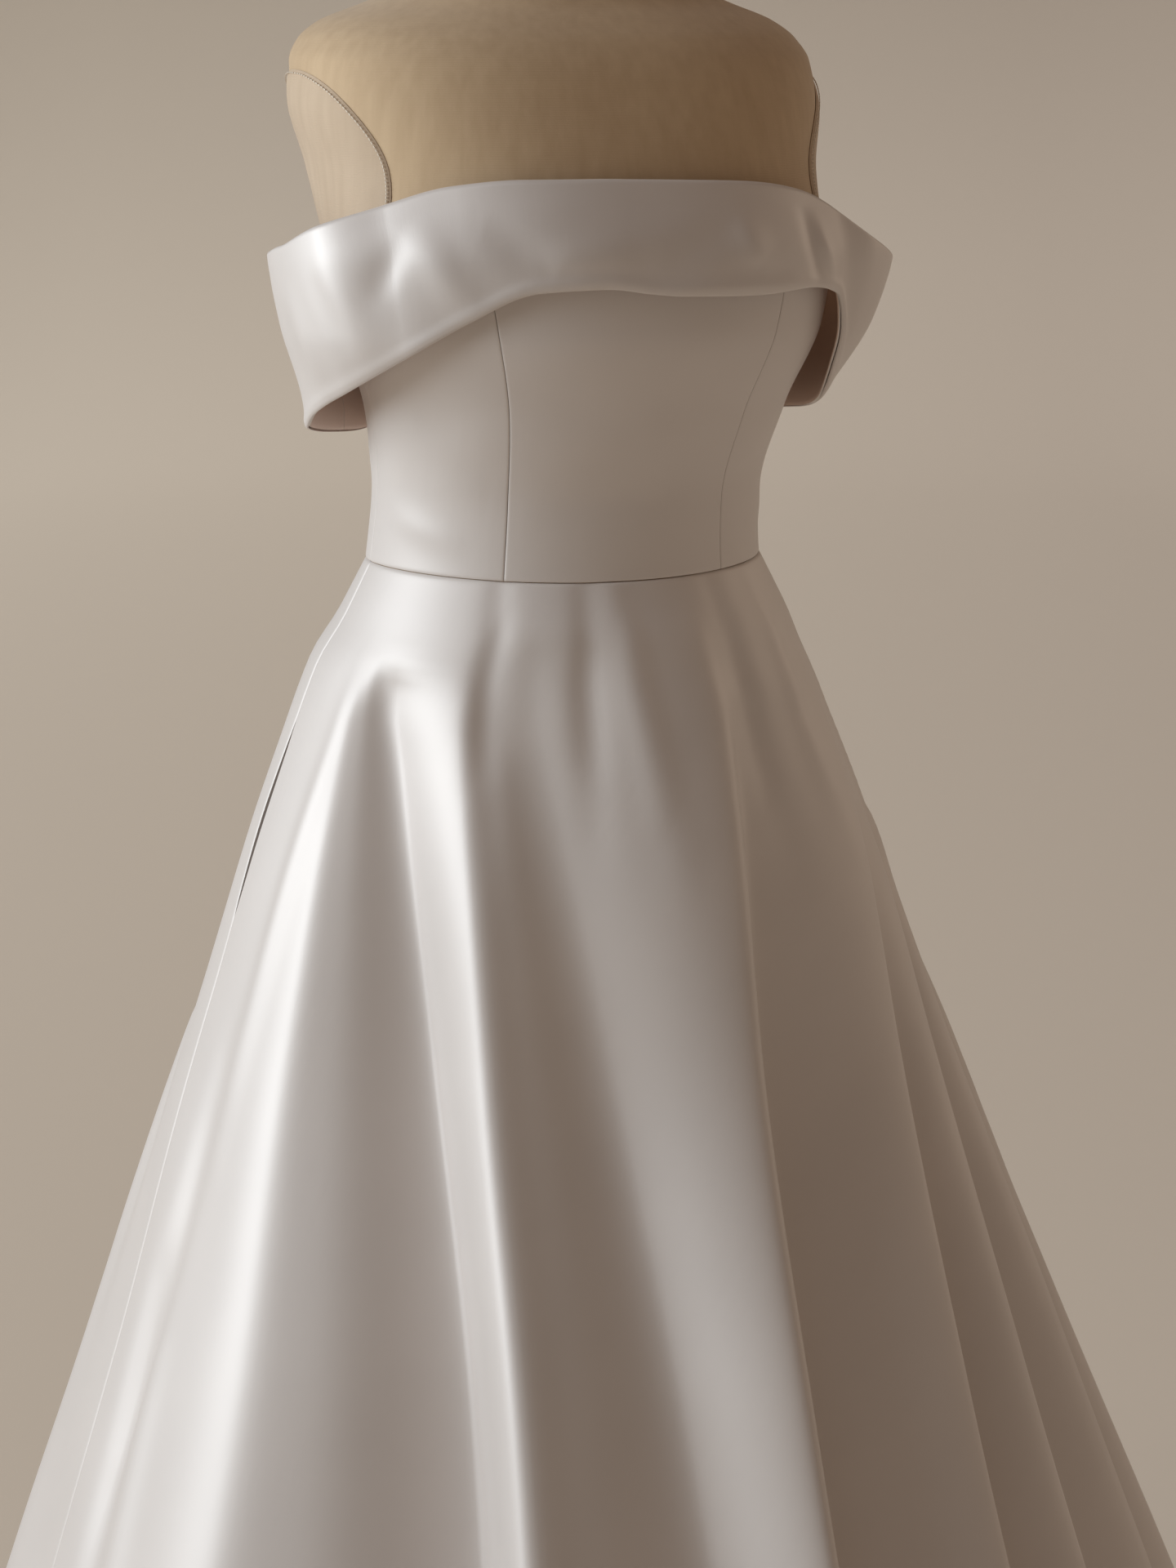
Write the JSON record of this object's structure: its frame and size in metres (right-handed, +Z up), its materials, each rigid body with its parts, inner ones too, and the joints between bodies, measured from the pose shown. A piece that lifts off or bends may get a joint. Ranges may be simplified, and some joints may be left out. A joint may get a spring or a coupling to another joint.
{
  "type": "wedding dress on a dress form",
  "caption": "Floor-length ivory satin wedding dress with a fitted off-the-shoulder bodice, fold-over band and flared skirt with pockets, worn by a limbless dress form on a round base.",
  "frame": {"origin": "centre of the underside of the form's round base, on the floor", "axes": "+Z up, the wearer faces -Y, +X is the wearer's left"},
  "size_m": [1.004, 1.044, 1.4823],
  "materials": {
    "satin": "ivory duchess satin with a soft silvery sheen",
    "pocket_cloth": "matt blush lining cloth",
    "zip_tape": "ivory woven zip tape and closed coil",
    "zip_metal": "satin nickel",
    "form_linen": "tan woven cover, matt",
    "form_wood": "dark stained wood",
    "form_metal": "black powder coat"
  },
  "bodies": {
    "dress_and_form": {"bodice_front_centre": "satin", "bodice_side_front_left": "satin", "bodice_side_front_right": "satin", "bodice_side_back_left": "satin", "bodice_side_back_right": "satin", "bodice_back_left": "satin", "bodice_back_right": "satin", "band_front": "satin", "band_sleeve_left": "satin", "band_sleeve_right": "satin", "band_back_left": "satin", "band_back_right": "satin", "skirt_front": "satin", "skirt_back_left": "satin", "skirt_back_right": "satin", "pocket_bag_left": "pocket_cloth", "pocket_bag_right": "pocket_cloth", "zip_chain": "zip_tape", "zip_slider": "zip_metal", "form_torso": "form_linen", "form_arm_plate_left": "form_linen", "form_arm_plate_right": "form_linen", "form_neck_cap": "form_wood", "form_pole": "form_metal", "form_base": "form_metal"},
    "pull": {"zip_pull": "zip_metal"}
  },
  "joints": [
    {"name": "pull_swing", "type": "hinge", "parent": "dress_and_form", "child": "pull", "pos_m": [0, 0.11136, 1.252], "axis": [1, 0, 0], "range_deg": [0, 165]}
  ]
}
